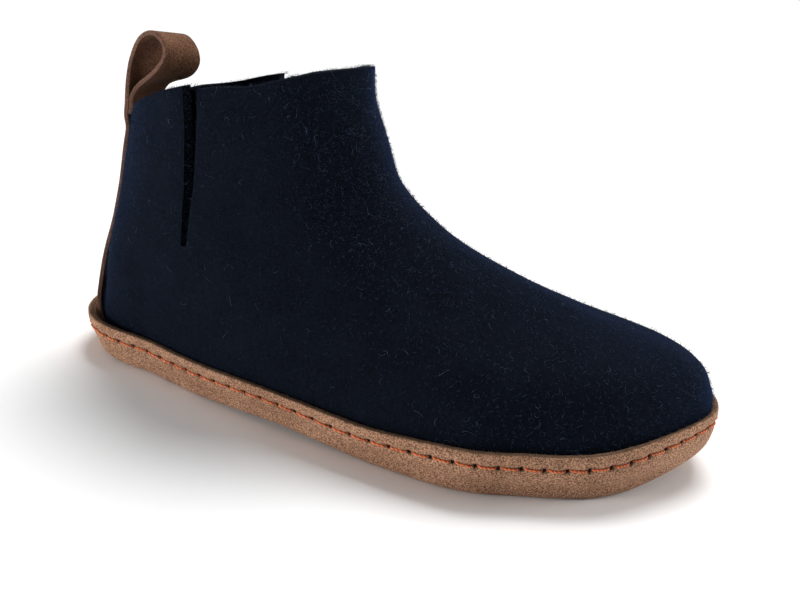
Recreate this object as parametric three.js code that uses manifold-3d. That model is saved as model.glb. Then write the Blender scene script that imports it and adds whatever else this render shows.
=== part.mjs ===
// A right-foot hut slipper: an ankle boot of wet-felted wool in a suede cup sole, with a suede strap that
// follows the heel up and turns over into a pull loop.
// Millimetres. The toe points to +X, the inner side of the foot to +Y, and the sole stands on Z = 0.

import Module from 'manifold-3d';
import * as THREE from 'three';
import { mergeVertices } from 'three/addons/utils/BufferGeometryUtils.js';

const { smoothstep, lerp, clamp } = THREE.MathUtils;

// Driving sizes of the boot
const BOOT_LENGTH = 270;
const BALL_WIDTH = 106;
const COLLAR_HEIGHT = 140;
const FELT_WALL = 5;
const FELT_FLOOR = 5;
const TOE_SWING = 26.5;
const ARCH_LIFT = 2.4;
const TOE_SPRING = 5.5;

// Driving sizes of the sole
const LEATHER = 2.8;
const SOLE_RIM = 18.5;
const BALL_RIM_RISE = 2.4;
const TOE_RIM_RISE = 2.8;
const EDGE_RISE = 6;
const TOE_EDGE_RISE = 6;
const EDGE_ROUND_HEEL = 7;
const EDGE_ROUND_SIDE = 3.5;
const EDGE_ROUND_TOE = 12;
const RIM_FLARE = 0.6;

// Driving sizes of the slits; the place is a share of the shaft's depth from its back
const SLIT_ALONG = 0.468;
const SLIT_DEPTH = 64;
const SLIT_MOUTH = 6.8;
const SLIT_TIP = 3;
const SLIT_LEAN = 1.2;

// Driving sizes of the strap
const STRAP_WIDTH = 22;
const STRAP_THICKNESS = 2;
const STRAP_FOOT_WIDTH = 56;
const STRAP_FOOT_HEIGHT = 10.5;
const STRAP_EASE = 1.5;
const STRAP_STAND_OFF = 1.4;
const FLARE_HEIGHT = 62;
const LOOP_RISE = 32.6;
const LOOP_TAIL = 4;

// The loose insole, and the gap that pieces keep where they touch
const INSOLE_THICKNESS = 3;
const INSOLE_EASE = 1.5;
const CLEARANCE = 0.3;

const FELT_BASE = LEATHER + CLEARANCE;

// The outline from above: places along the foot and across the shaft as shares of their lengths, half
// widths of the foot as shares of BALL_WIDTH, and half widths of the shaft as shares of the heel's
const OUTLINE = [
  { name: 'corner', foot: 0.045, shaft: 0.07, lateral: 0.235, medial: 0.22, oval: 0.53 },
  { name: 'heel', foot: 0.17, shaft: 0.27, lateral: 0.33, medial: 0.335, oval: 0.95 },
  { name: 'waist', foot: 0.42, shaft: 0.52, lateral: 0.44, medial: 0.34, oval: 1.02 },
  { name: 'ball', foot: 0.7, shaft: 0.76, lateral: 0.517, medial: 0.48, oval: 0.88 },
  { name: 'toe', foot: 0.9, shaft: 0.94, lateral: 0.381, medial: 0.345, oval: 0.48 },
  { name: 'nose', foot: 0.967, shaft: 0.985, lateral: 0.2, medial: 0.225, oval: 0.25 },
];

// The outline from the side: heights as shares of the way from the felt's base to the collar, back and
// front as shares of BOOT_LENGTH, and what each station's width is multiplied by at that height
const LEVELS = [
  { height: 0, back: 0.012, front: 0.972, heel: 0.9, waist: 0.86, ball: 0.89, toe: 0.9 },
  { height: 0.043, back: 0, front: 0.993, heel: 0.98, waist: 0.96, ball: 0.975, toe: 0.98 },
  { height: 0.108, back: -0.008, front: 1, heel: 1.01, waist: 1.015, ball: 1.02, toe: 1.02 },
  { height: 0.21, back: -0.002, front: 0.996, heel: 1, waist: 1.01, ball: 0.99, toe: 0.935 },
  { height: 0.311, back: 0.005, front: 0.957, heel: 1, waist: 0.96, ball: 0.867, toe: 0.765 },
  { height: 0.413, back: 0.015, front: 0.784, heel: 1.02, waist: 0.89, ball: 0.694, toe: 0.567 },
  { height: 0.529, back: 0.024, front: 0.623, heel: 1.02, waist: 0.86, ball: 0.616, toe: 0.455 },
  { height: 0.659, back: 0.032, front: 0.525, heel: 1, waist: 0.84, ball: 0.6, toe: 0.44 },
  { height: 0.79, back: 0.046, front: 0.489, heel: 0.99, waist: 0.825, ball: 0.58, toe: 0.43 },
  { height: 0.92, back: 0.054, front: 0.46, heel: 1.01, waist: 0.845, ball: 0.6, toe: 0.44 },
  { height: 1.06, back: 0.056, front: 0.453, heel: 1.01, waist: 0.845, ball: 0.6, toe: 0.44 },
];
// The column of LEVELS that each station's width follows
const WIDTHS = { corner: 'heel', heel: 'heel', waist: 'waist', ball: 'ball', toe: 'toe', nose: 'toe' };
const SHAFT_STARTS = 0.311;
const SHAFT_ROUND = 0.659;

// The collar rises from the heel to the instep: places as shares of the shaft's depth, and heights as
// shares of COLLAR_HEIGHT. The panel behind the slit stands a little higher than the one in front
const COLLAR = [
  { along: -0.1, height: 0.788 },
  { along: 0.03, height: 0.802 },
  { along: 0.11, height: 0.832 },
  { along: 0.25, height: 0.868 },
  { along: SLIT_ALONG, height: 0.922 },
  { along: SLIT_ALONG + 0.014, height: 0.911 },
  { along: 0.6, height: 0.929 },
  { along: 0.785, height: 0.97 },
  { along: 0.9, height: 0.988 },
  { along: 1.1, height: 1 },
];

// The pull loop from its leg behind the heel, over the top and down to the collar: how far its middle
// stands behind the felt and above the collar, as shares of LOOP_RISE, and how much it keeps of the
// heel's round
const LOOP = [
  { behind: 0.085, above: 0.26, round: 0.85 },
  { behind: 0.005, above: 0.58, round: 0.5 },
  { behind: -0.165, above: 0.89, round: 0.2 },
  { behind: -0.385, above: 1, round: 0.1 },
  { behind: -0.565, above: 0.89, round: 0.1 },
  { behind: -0.575, above: 0.71, round: 0.2 },
  { behind: -0.38, above: 0.49, round: 0.4 },
  { behind: -0.09, above: 0.29, round: 0.8 },
  { behind: 0.03, above: 0.13, round: 1 },
];

// Where the ground line leaves the floor, as shares of BOOT_LENGTH: the sole lies flat on either side of
// the arch, under the heel and under the forefoot
const ARCH_MIDDLE = 0.43;
const ARCH_REACH = 0.2;
const SPRING_START = 0.88;

// Mesh steps
const COLUMNS = 70;
const FELT_RINGS = 24;
const EDGE_RINGS = 4;
const WALL_RINGS = 4;
const STRAP_COLUMNS = 12;
const LEG_STEP = 4;
const LOOP_STEPS = 22;

const { back: mouthBack, front: mouthFront } = LEVELS[LEVELS.length - 1];
const range = (count) => Array.from({ length: count }, (_, i) => i);
const at = (share) => share * BOOT_LENGTH;
const SHAFT_MOUTH = { back: at(mouthBack), front: at(mouthFront) };

// How much the ground line under the boot rises: the arch at the waist, and the spring of the toe
function groundLift(x) {
  const arch = 1 - smoothstep(Math.abs(x - at(ARCH_MIDDLE)), 0, at(ARCH_REACH));
  const toe = clamp((x - at(SPRING_START)) / at(1 - SPRING_START), 0, 1) ** 2;
  return ARCH_LIFT * arch + TOE_SPRING * toe;
}

// The lift fades out upwards, over the lower half of the boot
function settle(point) {
  const kept = 1 - smoothstep(point.z, 0, COLLAR_HEIGHT * 0.4);
  point.z += groundLift(point.x) * kept;
  return point;
}

// The fourteen points of one level: the back, six stations down the outer side, the toe, and six back
function levelPoints(level) {
  const z = FELT_BASE + level.height * (COLLAR_HEIGHT - FELT_BASE);
  const shaft = smoothstep(level.height, SHAFT_STARTS, SHAFT_ROUND);
  const back = at(level.back);
  const front = at(level.front);
  const point = (station, half) => {
    const x = lerp(back, front, lerp(station.foot, station.shaft, shaft));
    const swing = TOE_SWING * clamp((x / BOOT_LENGTH - 0.45) / 0.55, 0, 1) ** 1.5;
    return new THREE.Vector3(x, half + swing, z);
  };
  const heel = OUTLINE[1];
  const side = (key, sign) => OUTLINE.map((station) => {
    const foot = BALL_WIDTH * station[key] * level[WIDTHS[station.name]];
    const oval = BALL_WIDTH * heel[key] * level.heel * station.oval;
    return point(station, sign * lerp(foot, oval, shaft));
  });
  const end = (share) => point({ foot: share, shaft: share }, 0);
  return [end(0), ...side('lateral', -1), end(1), ...side('medial', 1).reverse()];
}

const levels = LEVELS.map(levelPoints);
const rails = range(levels[0].length).map(
  (k) => new THREE.CatmullRomCurve3(levels.map((points) => points[k]), false, 'catmullrom', 0.5),
);

// The felt's outer surface before it settles: around runs 0 to 1 from the back past the outer side, and
// up runs 0 to 1 through the levels
function feltPoint(around, up) {
  const section = rails.map((rail) => rail.getPoint(up));
  const curve = new THREE.CatmullRomCurve3(section, true, 'catmullrom', 0.5);
  return curve.getPoint(((around % 1) + 1) % 1);
}

function feltNormal(around, up) {
  const step = 0.002;
  const low = Math.max(up - step, 0);
  const high = Math.min(up + step, 1);
  const along = feltPoint(around + step, up).sub(feltPoint(around - step, up));
  const rise = feltPoint(around, high).sub(feltPoint(around, low));
  return along.cross(rise).normalize();
}

// A point at a distance outside the felt, level with its surface point where flat is true
function besideFelt(around, up, distance, flat = false) {
  const normal = feltNormal(around, up);
  if (flat) {
    normal.setZ(0).normalize();
  }
  return feltPoint(around, up).addScaledVector(normal, distance);
}

// How far up the levels a height lies at one place around
function upAtHeight(around, height) {
  let low = 0;
  let high = 1;
  range(24).forEach(() => {
    const middle = (low + high) / 2;
    if (feltPoint(around, middle).z < height(feltPoint(around, middle).x)) {
      low = middle;
    } else {
      high = middle;
    }
  });
  return (low + high) / 2;
}

// The collar's height over a place along the shaft
function collarHeight(x) {
  const { back, front } = SHAFT_MOUTH;
  const along = (x - back) / (front - back);
  const next = clamp(COLLAR.findIndex((row) => row.along > along), 1, COLLAR.length - 1);
  const a = COLLAR[next - 1];
  const b = COLLAR[next];
  return COLLAR_HEIGHT * lerp(a.height, b.height, clamp((along - a.along) / (b.along - a.along), 0, 1));
}

// A closed skin through rings of points, with a cap across the first and the last
function skin(rings) {
  const count = rings[0].length;
  const half = count / 2;
  const positions = rings.flat().flatMap((point) => point.toArray());
  const faces = [];
  const quad = (a, b, c, d) => faces.push(a, b, c, a, c, d);
  rings.slice(1).forEach((_, row) => {
    range(count).forEach((j) => {
      const next = (j + 1) % count;
      quad(row * count + j, row * count + next, (row + 1) * count + next, (row + 1) * count + j);
    });
  });
  const cap = (first, facesUp) => {
    const triangle = (a, b, c) => faces.push(first + a, first + (facesUp ? b : c), first + (facesUp ? c : b));
    triangle(0, 1, count - 1);
    range(half - 2).forEach((i) => {
      const j = i + 1;
      triangle(j, j + 1, count - j - 1);
      triangle(j, count - j - 1, count - j);
    });
    triangle(half - 1, half, half + 1);
  };
  cap(0, false);
  cap((rings.length - 1) * count, true);
  const geometry = new THREE.BufferGeometry();
  geometry.setAttribute('position', new THREE.Float32BufferAttribute(positions, 3));
  geometry.setIndex(faces);
  return geometry;
}

const places = range(COLUMNS).map((j) => j / COLUMNS);

// The upper: up its outside from the base, over the collar, down its inside and across its floor
function upperRings() {
  const tops = places.map((around) => upAtHeight(around, collarHeight));
  const share = (i) => i / FELT_RINGS;
  const outside = range(FELT_RINGS + 1).map((i) => places.map(
    (around, j) => feltPoint(around, tops[j] * share(i)),
  ));
  const inside = range(FELT_RINGS / 2 + 1).slice(2).map((k) => 2 * k).map((i) => places.map(
    (around, j) => besideFelt(around, tops[j] * share(i), -FELT_WALL),
  ));
  const lip = outside[FELT_RINGS].map((point, j) => {
    const middle = point.clone().lerp(inside[inside.length - 1][j], 0.5);
    return middle.setZ(Math.max(point.z, inside[inside.length - 1][j].z) + FELT_WALL / 5);
  });
  const floor = places.map((around, j) => {
    const point = besideFelt(around, tops[j] * share(3), -FELT_WALL * 1.5, true);
    return point.setZ(FELT_BASE + FELT_FLOOR);
  });
  return [...outside, lip, ...inside.reverse(), floor].map((ring) => ring.map(settle));
}

// How much room the sole gives the strap's foot behind the heel
function strapRoom(point) {
  const edge = STRAP_FOOT_WIDTH / 2;
  const beside = smoothstep(Math.abs(point.y), edge, edge * 1.5);
  const behind = 1 - smoothstep(point.x, at(0.1), at(0.18));
  return (STRAP_THICKNESS + STRAP_EASE) * (1 - beside) * behind;
}

// The rim stands higher round the ball and again round the toe, where the rounded edge reaches higher too
function rimHeight(x) {
  const ball = smoothstep(x, at(0.55), at(0.74));
  const toe = smoothstep(x, at(0.83), at(0.98));
  return SOLE_RIM + BALL_RIM_RISE * ball + TOE_RIM_RISE * toe;
}

function edgeHeight(x) {
  return EDGE_RISE + TOE_EDGE_RISE * smoothstep(x, at(0.93), at(1));
}

// The sole: a rounded edge up from its flat bottom, a wall that follows the felt and flares at the rim,
// and an inside that lies against the felt
function soleRings() {
  const wall = CLEARANCE + LEATHER;
  const ringAt = (height, distance) => places.map((around) => {
    const up = upAtHeight(around, height);
    const room = strapRoom(feltPoint(around, up));
    return besideFelt(around, up, distance + room, true);
  });
  const shoulder = ringAt(edgeHeight, wall);
  const edge = range(EDGE_RINGS).map((i) => {
    const angle = (i / EDGE_RINGS) * (Math.PI / 2);
    return shoulder.map((point, j) => {
      const normal = feltNormal(places[j], upAtHeight(places[j], edgeHeight)).setZ(0).normalize();
      const heel = 1 - smoothstep(point.x, 0, at(0.25));
      const toe = smoothstep(point.x, at(0.93), at(1));
      const round = EDGE_ROUND_SIDE + (EDGE_ROUND_HEEL - EDGE_ROUND_SIDE) * heel
        + (EDGE_ROUND_TOE - EDGE_ROUND_SIDE) * toe;
      const inset = round * (1 - Math.sin(angle));
      return point.clone().addScaledVector(normal, -inset).setZ(point.z * (1 - Math.cos(angle)));
    });
  });
  const side = range(WALL_RINGS).map((i) => {
    const share = (i + 1) / WALL_RINGS;
    return ringAt((x) => lerp(edgeHeight(x), rimHeight(x), share), wall + RIM_FLARE * share ** 2);
  });
  const inside = range(WALL_RINGS + EDGE_RINGS).map((i) => {
    const share = i / (WALL_RINGS + EDGE_RINGS);
    return ringAt((x) => lerp(rimHeight(x), FELT_BASE, share), CLEARANCE);
  });
  const floor = ringAt(() => FELT_BASE, CLEARANCE).map((point) => point.setZ(LEATHER));
  return [...edge, shoulder, ...side, ...inside, floor].map((ring) => ring.map(settle));
}

// The insole: flat, inside the felt's floor
function insoleRings() {
  const base = FELT_BASE + FELT_FLOOR + CLEARANCE;
  const outline = (height) => places.map((around) => {
    const up = upAtHeight(around, () => base + INSOLE_THICKNESS);
    return besideFelt(around, up, -FELT_WALL * 1.5 - INSOLE_EASE, true).setZ(height);
  });
  return [outline(base), outline(base + INSOLE_THICKNESS)].map((ring) => ring.map(settle));
}

// One section across the heel: places at equal steps along the felt, from the outer side to the inner
function heelSection(height, halfWidth) {
  const reach = 0.16;
  const samples = range(81).map((i) => {
    const around = lerp(reach, -reach, i / 80);
    return { around, up: upAtHeight(around, () => height) };
  });
  const points = samples.map(({ around, up }) => feltPoint(around, up));
  const lengths = points.reduce((all, point, i) => {
    const before = i ? all[i - 1] + point.distanceTo(points[i - 1]) : 0;
    return [...all, before];
  }, []);
  const middle = lengths[40];
  return range(STRAP_COLUMNS + 1).map((i) => {
    const wanted = middle + lerp(-halfWidth, halfWidth, i / STRAP_COLUMNS);
    const after = clamp(lengths.findIndex((length) => length > wanted), 1, 80);
    const share = (wanted - lengths[after - 1]) / (lengths[after] - lengths[after - 1]);
    const around = lerp(samples[after - 1].around, samples[after].around, share);
    const up = lerp(samples[after - 1].up, samples[after].up, share);
    const normal = feltNormal(around, up).setZ(0).normalize();
    return { point: feltPoint(around, up), normal };
  });
}

// Half the strap's width at a height: wide at its foot, and even above the flare
function strapHalfWidth(height) {
  const flare = 1 - smoothstep(height, SOLE_RIM * 0.6, FLARE_HEIGHT);
  return lerp(STRAP_WIDTH, STRAP_FOOT_WIDTH, flare) / 2;
}

// How far the strap stands off the felt where the rim of the sole holds it away
function standOff(height) {
  const risen = smoothstep(height, STRAP_FOOT_HEIGHT, SOLE_RIM * 1.4);
  const faded = smoothstep(height, FLARE_HEIGHT * 0.7, FLARE_HEIGHT * 1.4);
  return STRAP_STAND_OFF * risen * (1 - faded);
}

// The strap's middle surface, row by row: up behind the heel, over the loop and down to its tail
function strapRows() {
  const collar = collarHeight(SHAFT_MOUTH.back);
  const near = CLEARANCE + STRAP_THICKNESS / 2;
  const far = near + STRAP_THICKNESS + CLEARANCE;
  const tail = collar - LOOP_TAIL;
  const lay = (height, behind, round, halfWidth) => {
    const section = heelSection(Math.min(height, collar), halfWidth);
    const middle = section[STRAP_COLUMNS / 2].point;
    return section.map(({ point, normal }, i) => {
      const across = lerp(-1, 1, i / STRAP_COLUMNS) * halfWidth;
      const turned = new THREE.Vector3(-1, 0, 0).lerp(normal, round).normalize();
      const flat = new THREE.Vector3(middle.x, middle.y + across, point.z);
      return flat.lerp(point, round).addScaledVector(turned, behind).setZ(height);
    });
  };
  const row = (height, behind, round = 1) => {
    const half = strapHalfWidth(height);
    const fanned = lay(height, behind, round, half);
    const length = fanned.slice(1).reduce((sum, point, i) => sum + point.distanceTo(fanned[i]), 0);
    return lay(height, behind, round, (half * 2 * half) / length);
  };
  // A row is laid twice, the second time narrower by what the heel's round fanned it out
  const legCount = Math.round((collar - STRAP_FOOT_HEIGHT) / LEG_STEP);
  const leg = range(legCount + 1).map((i) => {
    const height = lerp(STRAP_FOOT_HEIGHT, collar, i / legCount);
    const out = smoothstep(height, tail - 1.5 * LEG_STEP, tail);
    return row(height, lerp(near, far, out) + standOff(height));
  });
  const stations = [
    { behind: far / LOOP_RISE, above: 0, round: 1 },
    ...LOOP,
    { behind: near / LOOP_RISE, above: 0, round: 1 },
  ].map(({ behind, above, round }) => new THREE.Vector3(behind, above, round));
  const path = new THREE.CatmullRomCurve3(stations, false, 'catmullrom', 0.5);
  const loop = range(LOOP_STEPS).map((i) => {
    const { x, y, z } = path.getPoint((i + 1) / LOOP_STEPS);
    return row(collar + y * LOOP_RISE, x * LOOP_RISE, clamp(z, 0, 1));
  });
  const inner = range(2).map((i) => row(lerp(collar, tail, (i + 1) / 2), near));
  return [...leg, ...loop, ...inner];
}

// A strip of one thickness on both sides of its middle surface
function strip(rows, thickness) {
  const last = rows[0].length - 1;
  const grown = (side) => rows.map((row, i) => row.map((point, j) => {
    const before = rows[Math.max(i - 1, 0)][j];
    const after = rows[Math.min(i + 1, rows.length - 1)][j];
    const along = after.clone().sub(before);
    const across = row[Math.min(j + 1, last)].clone().sub(row[Math.max(j - 1, 0)]);
    const normal = along.cross(across).normalize();
    return point.clone().addScaledVector(normal, (side * thickness) / 2);
  }));
  const front = grown(1);
  const back = grown(-1);
  return skin(rows.map((_, i) => [...back[i], ...front[i].reverse()]));
}

const wasm = await Module();
wasm.setup();

function toSolid(geometry) {
  const bare = geometry.clone();
  bare.deleteAttribute('normal');
  bare.deleteAttribute('uv');
  const merged = mergeVertices(bare, 1e-4);
  return new wasm.Manifold(new wasm.Mesh({
    numProp: 3,
    vertProperties: merged.getAttribute('position').array,
    triVerts: Uint32Array.from(merged.getIndex().array),
  }));
}

function toGeometry(solid) {
  const mesh = solid.getMesh();
  const geometry = new THREE.BufferGeometry();
  geometry.setAttribute('position', new THREE.Float32BufferAttribute(mesh.vertProperties, 3));
  geometry.setIndex([...mesh.triVerts]);
  return geometry;
}

// The wedge that cuts the slit in both sides of the collar
function slitWedge() {
  const place = lerp(SHAFT_MOUTH.back, SHAFT_MOUTH.front, SLIT_ALONG);
  const top = collarHeight(place);
  const over = FELT_WALL;
  const grow = (SLIT_MOUTH - SLIT_TIP) * (over / SLIT_DEPTH);
  const outline = new THREE.Shape();
  outline.moveTo(place - SLIT_LEAN - SLIT_TIP / 2, top - SLIT_DEPTH);
  outline.lineTo(place - SLIT_LEAN + SLIT_TIP / 2, top - SLIT_DEPTH);
  outline.lineTo(place + (SLIT_MOUTH + grow) / 2, top + over);
  outline.lineTo(place - (SLIT_MOUTH + grow) / 2, top + over);
  outline.closePath();
  const wedge = new THREE.ExtrudeGeometry(outline, { depth: 2 * BALL_WIDTH, bevelEnabled: false });
  return wedge.rotateX(Math.PI / 2).translate(0, BALL_WIDTH, 0);
}

const felt = new THREE.MeshStandardMaterial({ color: 0x0d1420, roughness: 0.98, metalness: 0 });
const suede = new THREE.MeshStandardMaterial({ color: 0x8a6a52, roughness: 0.95, metalness: 0 });
const strapSuede = new THREE.MeshStandardMaterial({ color: 0x6d4d3b, roughness: 0.95, metalness: 0 });
const greyFelt = new THREE.MeshStandardMaterial({ color: 0x1a2230, roughness: 0.98, metalness: 0 });

function piece(name, geometry, material) {
  const mesh = new THREE.Mesh(geometry, material);
  mesh.name = name;
  return mesh;
}

const group = new THREE.Group();
group.add(
  piece('upper', toGeometry(toSolid(skin(upperRings())).subtract(toSolid(slitWedge()))), felt),
  piece('sole', skin(soleRings()), suede),
  piece('insole', skin(insoleRings()), greyFelt),
  piece('pull_strap', strip(strapRows(), STRAP_THICKNESS), strapSuede),
);

// The origin is on the ground under the middle of the whole slipper
const box = new THREE.Box3().setFromObject(group);
const centre = box.getCenter(new THREE.Vector3());
group.position.set(-centre.x, -centre.y, -box.min.z);
group.updateMatrixWorld(true);

export default group;
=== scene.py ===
# %% [markdown]
# A hut slipper for the right foot: an ankle boot felted whole from dark navy wool, sitting in a shallow cup
# of tan suede, with a suede strap that climbs the heel and turns over into a pull loop.
#
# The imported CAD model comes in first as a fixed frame. Each soft piece is then modelled anew on the same
# sizes and takes its CAD node's place.

import math
import random
from functools import lru_cache

import bmesh
import bpy
from mathutils import Matrix, Vector, noise


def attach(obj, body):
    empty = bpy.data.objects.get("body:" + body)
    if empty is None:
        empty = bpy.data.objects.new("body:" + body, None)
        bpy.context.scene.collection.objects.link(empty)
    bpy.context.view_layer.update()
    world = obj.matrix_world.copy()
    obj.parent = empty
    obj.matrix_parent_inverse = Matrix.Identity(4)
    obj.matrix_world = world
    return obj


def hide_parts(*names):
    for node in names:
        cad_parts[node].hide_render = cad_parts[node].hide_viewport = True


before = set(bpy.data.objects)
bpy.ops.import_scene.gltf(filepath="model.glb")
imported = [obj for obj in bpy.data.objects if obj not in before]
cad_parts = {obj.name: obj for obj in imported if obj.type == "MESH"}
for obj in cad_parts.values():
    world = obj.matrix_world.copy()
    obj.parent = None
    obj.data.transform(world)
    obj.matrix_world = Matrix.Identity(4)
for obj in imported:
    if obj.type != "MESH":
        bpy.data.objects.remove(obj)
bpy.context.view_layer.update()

# %% [markdown]
# The camera comes first, because every later choice is judged through it. It looks at the outer side from a
# little ahead and a little above, closer than a product photographer usually stands: the toe is plainly
# nearer than the heel. It is turned a few degrees about its own axis, so the slipper seems to walk downhill.

# %% Camera
MM = 0.001
AIM = Vector((1.98, -3.83, 57.04)) * MM
AZIMUTH = math.radians(25.65)
ELEVATION = math.radians(19.69)
ROLL = math.radians(4.74)
DISTANCE = 394.3 * MM
LENS = 42.75
SHIFT = (0.0265, -0.0360)

towards = Vector((
    math.sin(AZIMUTH) * math.cos(ELEVATION),
    -math.cos(AZIMUTH) * math.cos(ELEVATION),
    math.sin(ELEVATION),
))
level = Vector((math.cos(AZIMUTH), math.sin(AZIMUTH), 0))
upright = towards.cross(level)
across = level * math.cos(ROLL) + upright * math.sin(ROLL)
above = upright * math.cos(ROLL) - level * math.sin(ROLL)
camera = bpy.data.objects.new("camera", bpy.data.cameras.new("camera"))
turned = Matrix((across, above, towards)).transposed().to_4x4()
camera.matrix_world = Matrix.Translation(AIM + towards * DISTANCE) @ turned
camera.data.lens = LENS
camera.data.sensor_width = 36
camera.data.shift_x, camera.data.shift_y = SHIFT
camera.data.clip_start = 0.01
bpy.context.scene.collection.objects.link(camera)
bpy.context.scene.camera = camera
print("Camera at", [round(v, 3) for v in camera.matrix_world.translation])

# %% [markdown]
# ## The shape of the foot
# The boot is described the way a shoemaker's last is: an outline from above, given at seven stations along
# the foot, and an outline from the side, given level by level. Everything else hangs on that one surface: the
# sole and the strap are drawn at a distance from it. The sizes and tables are those of the CAD part, but for
# one more station before the toe: it rounds the soft toe by a millimetre or two.

# %% Sizes in millimetres
BOOT_LENGTH = 270
BALL_WIDTH = 106
COLLAR_HEIGHT = 140
FELT_WALL = 5
FELT_FLOOR = 5
TOE_SWING = 26.5
ARCH_LIFT = 2.4
TOE_SPRING = 5.5
LEATHER = 2.8
SOLE_RIM = 18.5
BALL_RIM_RISE = 2.4
TOE_RIM_RISE = 2.8
EDGE_RISE = 6
TOE_EDGE_RISE = 6
EDGE_ROUND_HEEL, EDGE_ROUND_SIDE, EDGE_ROUND_TOE = 7, 3.5, 12
RIM_FLARE = 0.6
SLIT_ALONG = 0.468
SLIT_DEPTH = 64
SLIT_MOUTH = 6.8
SLIT_TIP = 3
SLIT_LEAN = 1.2
STRAP_WIDTH = 22
STRAP_THICKNESS = 2
STRAP_FOOT_WIDTH = 56
STRAP_FOOT_HEIGHT = 10.5
STRAP_EASE = 1.5
STRAP_STAND_OFF = 1.4
FLARE_HEIGHT = 62
LOOP_RISE = 32.6
LOOP_TAIL = 4
INSOLE_THICKNESS = 3
INSOLE_EASE = 1.5
CLEARANCE = 0.3
FELT_BASE = LEATHER + CLEARANCE

# name, place along the foot, place across the shaft, lateral, medial, oval of the shaft
OUTLINE = [
    ("corner", 0.045, 0.07, 0.235, 0.22, 0.53),
    ("heel", 0.17, 0.27, 0.33, 0.335, 0.95),
    ("waist", 0.42, 0.52, 0.44, 0.34, 1.02),
    ("ball", 0.7, 0.76, 0.524, 0.471, 0.88),
    ("toes", 0.81, 0.86, 0.472, 0.424, 0.7),
    ("toe", 0.9, 0.94, 0.381, 0.345, 0.48),
    ("nose", 0.967, 0.985, 0.2, 0.225, 0.25),
]
# height, back, front, and the widths at the heel, waist, ball and toe
LEVELS = [
    (0, 0.012, 0.972, 0.9, 0.86, 0.89, 0.9),
    (0.043, 0, 0.993, 0.98, 0.96, 0.975, 0.98),
    (0.108, -0.008, 1, 1.01, 1.015, 1.02, 1.02),
    (0.21, -0.002, 0.996, 1, 1.01, 0.99, 0.935),
    (0.311, 0.005, 0.957, 1, 0.96, 0.867, 0.765),
    (0.413, 0.015, 0.784, 1.02, 0.89, 0.694, 0.567),
    (0.529, 0.024, 0.623, 1.02, 0.86, 0.616, 0.455),
    (0.659, 0.032, 0.525, 1, 0.84, 0.6, 0.44),
    (0.79, 0.046, 0.489, 0.99, 0.825, 0.58, 0.43),
    (0.92, 0.054, 0.46, 1.01, 0.845, 0.6, 0.44),
    (1.06, 0.056, 0.453, 1.01, 0.845, 0.6, 0.44),
]
# the columns of LEVELS whose mean each station's width follows
WIDTH_COLUMNS = {
    "corner": (3,), "heel": (3,), "waist": (4,), "ball": (5,), "toes": (5, 6), "toe": (6,), "nose": (6,),
}
SHAFT_STARTS, SHAFT_ROUND = 0.311, 0.659
# place along the shaft, height of the collar
COLLAR = [
    (-0.1, 0.788),
    (0.03, 0.802),
    (0.11, 0.832),
    (0.25, 0.868),
    (SLIT_ALONG, 0.922),
    (SLIT_ALONG + 0.014, 0.911),
    (0.6, 0.929),
    (0.785, 0.97),
    (0.9, 0.988),
    (1.1, 1),
]
ARCH_MIDDLE, ARCH_REACH, SPRING_START = 0.43, 0.2, 0.88
# The last's own frame starts behind the heel, and the CAD model's under the middle of the slipper
PLACE = Vector((-132.289, -5.413, 0))


# %% Curves and steps
def clamp(value, low=0.0, high=1.0):
    return max(low, min(high, value))


def smoothstep(value, low, high):
    share = clamp((value - low) / (high - low))
    return share * share * (3 - 2 * share)


def lerp(a, b, share):
    return a + (b - a) * share


def spline(points, place, closed=False):
    """A point of the smooth curve through the points, place running from 0 to 1."""
    count = len(points)
    steps = place * (count if closed else count - 1)
    first = min(math.floor(steps), count - 1 if closed else count - 2)
    share = steps - first
    b, c = points[first], points[(first + 1) % count]
    a = points[first - 1] if first or closed else 2 * b - c
    d = points[(first + 2) % count] if closed or first + 2 < count else 2 * c - b
    out, into = (c - a) / 2, (d - b) / 2
    return b + share * (out + share * (3 * (c - b) - 2 * out - into + share * (2 * (b - c) + out + into)))


# %% The levels of the last
def level_points(height, back, front, *widths):
    """The points of one level: back, outer side, toe, inner side."""
    z = FELT_BASE + height * (COLLAR_HEIGHT - FELT_BASE)
    shaft = smoothstep(height, SHAFT_STARTS, SHAFT_ROUND)

    def point(foot, across_shaft, half):
        x = lerp(back, front, lerp(foot, across_shaft, shaft)) * BOOT_LENGTH
        swing = TOE_SWING * clamp((x / BOOT_LENGTH - 0.45) / 0.55) ** 1.5
        return Vector((x, half + swing, z))

    def side(column, sign):
        points = []
        for station in OUTLINE:
            columns = WIDTH_COLUMNS[station[0]]
            foot = BALL_WIDTH * station[column] * sum(widths[c - 3] for c in columns) / len(columns)
            oval = BALL_WIDTH * OUTLINE[1][column] * widths[0] * station[5]
            points.append(point(station[1], station[2], sign * lerp(foot, oval, shaft)))
        return points

    return [point(0, 0, 0), *side(3, -1), point(1, 1, 0), *reversed(side(4, 1))]


levels = [level_points(*row) for row in LEVELS]
rails = list(zip(*levels))
heights = [points[0].z for points in levels]
print(len(levels), "levels of", len(rails), "points")


# %% The felt's outer surface
@lru_cache(maxsize=None)
def section(up):
    return [spline(rail, up) for rail in rails]


def felt_point(around, up):
    """around runs from the back past the outer side, up from the base past the collar."""
    return spline(section(up), around % 1, closed=True)


def felt_normal(around, up):
    step = 0.002
    along = felt_point(around + step, up) - felt_point(around - step, up)
    rise = felt_point(around, min(up + step, 1)) - felt_point(around, max(up - step, 0))
    return along.cross(rise).normalized()


@lru_cache(maxsize=None)
def up_for(z):
    """How far up the levels a height lies."""
    low, high = 0.0, 1.0
    for _ in range(24):
        middle = (low + high) / 2
        if spline(heights, middle) < z:
            low = middle
        else:
            high = middle
    return (low + high) / 2


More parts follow.
